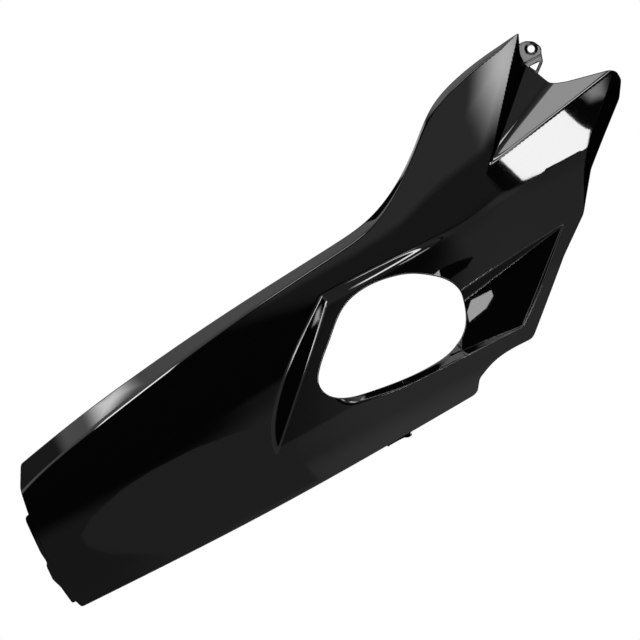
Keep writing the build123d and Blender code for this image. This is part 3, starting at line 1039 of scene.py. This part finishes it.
def addDisc(name, middle, rings, material):
    # faces from the middle to the first ring of points, and on from ring to ring
    count = len(rings[0])
    following = [(i + 1) % count for i in range(count)]
    faces = [(0, 1 + i, 1 + following[i]) for i in range(count)]
    for first in range(1, 1 + count * (len(rings) - 1), count):
        second = first + count
        faces += [(first + i, second + i, second + following[i], first + following[i])
                  for i in range(count)]
    mesh = bpy.data.meshes.new(name)
    mesh.from_pydata(np.concatenate([[middle], *rings]).tolist(), [], faces)
    mesh.materials.append(material)
    disc = addObject(name, mesh)
    return disc


def addCard(name, corners, strength, fade):
    # the glow is full up to the first ring and fades out to the second
    corners = np.array(corners)
    middle, count = corners.mean(axis=0), len(corners)
    scales = (1 - fade[0], 1 + fade[1]) if any(fade) else (1.0,)
    rings = [middle + (corners - middle) * scale for scale in scales]
    card = addDisc(name, middle, rings, lightMaterial(name, strength))
    glow = card.data.attributes.new("glow", "FLOAT", "POINT")
    glow.data.foreach_set("value", [1.0] * (1 + count) + [0.0] * count * (len(rings) - 1))
    card.visible_camera = False
    card.visible_shadow = False
    card.visible_diffuse = False


for name, settings in cards.items():
    spots = mirrorSpots(settings["patch"], settings["away"], surfaces[settings["on"]])
    addCard(name, spots, settings["strength"], settings["fade"])
for name, settings in bars.items():
    addCard(name, settings["corners"], settings["strength"], settings["fade"])

keyData = bpy.data.lights.new("keyLight", "AREA")
keyData.size, keyData.energy = key["size"], key["power"]
keyLight = addObject("keyLight", keyData)
keyPlace = Vector(key["place"])
facing = (keyPlace - Vector(key["target"])).to_track_quat("Z", "Y").to_matrix().to_4x4()
keyLight.matrix_world = Matrix.Translation(keyPlace) @ facing
keyLight.visible_glossy = False
print("lights placed")

# Room as the gloss mirrors it: white behind the panel, and in front zones of grey in the dark,
# each with its level and the directions over which it comes in
room = {
    "ambient": 0.75,
    "behind": (0.7, 0.95),
    "zones": {
        "top": (0.85, [("Z", 0.45, 0.85)]),
        "low": (0.15, [("Z", -0.16, -0.34), ("X", 0.36, 0.22)]),
        "below": (0.22, [("Z", -0.74, -0.86), ("X", -0.11, -0.04), ("X", 0.36, 0.22)]),
        "lowRight": (0.27, [("X", -0.04, 0.03), ("X", 0.36, 0.24), ("Z", -0.1, -0.15)]),
        "left": (0.95, [("X", -0.2, -0.5), ("Z", 0.1, 0.4)]),
        "highRight": (0.36, [("X", 0.18, 0.32), ("Z", 0.1, 0.26)]),
    },
}


def chooseLevel(tree, share, first, second):
    inputs = {"Factor": share, "A": first, "B": second}
    return addNode(tree, "ShaderNodeMix", inputs, data_type="FLOAT").outputs["Result"]


def buildRoom():
    world = bpy.data.worlds.new("studio")
    world.use_nodes = True
    tree = world.node_tree
    background = tree.nodes["Background"]
    direction = addNode(tree, "ShaderNodeTexCoord").outputs["Generated"]
    parts = addNode(tree, "ShaderNodeSeparateXYZ", {0: direction}).outputs
    front = 0.0
    for level, spans in room["zones"].values():
        zone = level
        for axis, start, end in spans:
            zone = addMath(tree, "MULTIPLY", zone, addRamp(tree, parts[axis], start, end))
        front = addMath(tree, "ADD", front, zone)
    mirrored = addMath(tree, "MAXIMUM", addRamp(tree, parts["Y"], *room["behind"]), front)
    rays = addNode(tree, "ShaderNodeLightPath").outputs
    level = chooseLevel(tree, rays["Is Glossy Ray"], room["ambient"], mirrored)
    clear = addMath(tree, "MAXIMUM", rays["Is Camera Ray"], rays["Is Transmission Ray"])
    tree.links.new(chooseLevel(tree, clear, level, 1.0), background.inputs["Strength"])
    background.inputs["Color"].default_value = (1, 1, 1, 1)
    bpy.context.scene.world = world


# Floor: a pale disc below the panel that fades into the white background
floor = {"height": -0.85, "centre": (-0.29, 0.45), "radius": 0.7, "fade": (0.45, 0.98),
         "colour": (0.86, 0.86, 0.86), "roughness": 0.8, "lift": 0.22,
         "rings": (0.25, 0.5, 0.75, 1.0), "sides": 96}


def buildFloor():
    material = bpy.data.materials.new("paleFloor")
    material.use_nodes = True
    tree = material.node_tree
    shader = tree.nodes["Principled BSDF"]
    shader.inputs["Base Color"].default_value = (*floor["colour"], 1)
    shader.inputs["Roughness"].default_value = floor["roughness"]
    rays = addNode(tree, "ShaderNodeLightPath").outputs
    seen = addMath(tree, "MAXIMUM", rays["Is Camera Ray"], rays["Is Glossy Ray"])
    seen = addMath(tree, "MAXIMUM", seen, rays["Is Transmission Ray"])
    shader.inputs["Emission Color"].default_value = (1, 1, 1, 1)
    lift = addMath(tree, "MULTIPLY", seen, floor["lift"])
    tree.links.new(lift, shader.inputs["Emission Strength"])
    place = addNode(tree, "ShaderNodeTexCoord").outputs["Object"]
    apart = addNode(tree, "ShaderNodeVectorMath", {0: place}, operation="LENGTH")
    white = addNode(tree, "ShaderNodeEmission", {"Strength": seen})
    mixed = addNode(tree, "ShaderNodeMixShader",
                    {0: addRamp(tree, apart.outputs["Value"], *floor["fade"]),
                     1: shader.outputs[0], 2: white.outputs[0]})
    tree.links.new(mixed.outputs[0], tree.nodes["Material Output"].inputs["Surface"])
    outside = np.pad(circle(floor["sides"]), ((0, 0), (0, 1)))
    disc = addDisc("floor", (0, 0, 0), [outside * ring for ring in floor["rings"]], material)
    disc.matrix_world = (Matrix.Translation((*floor["centre"], floor["height"]))
                         @ Matrix.Scale(floor["radius"], 4))


buildRoom()
buildFloor()
bpy.context.scene.view_settings.view_transform = "Standard"
print("room and floor ready")
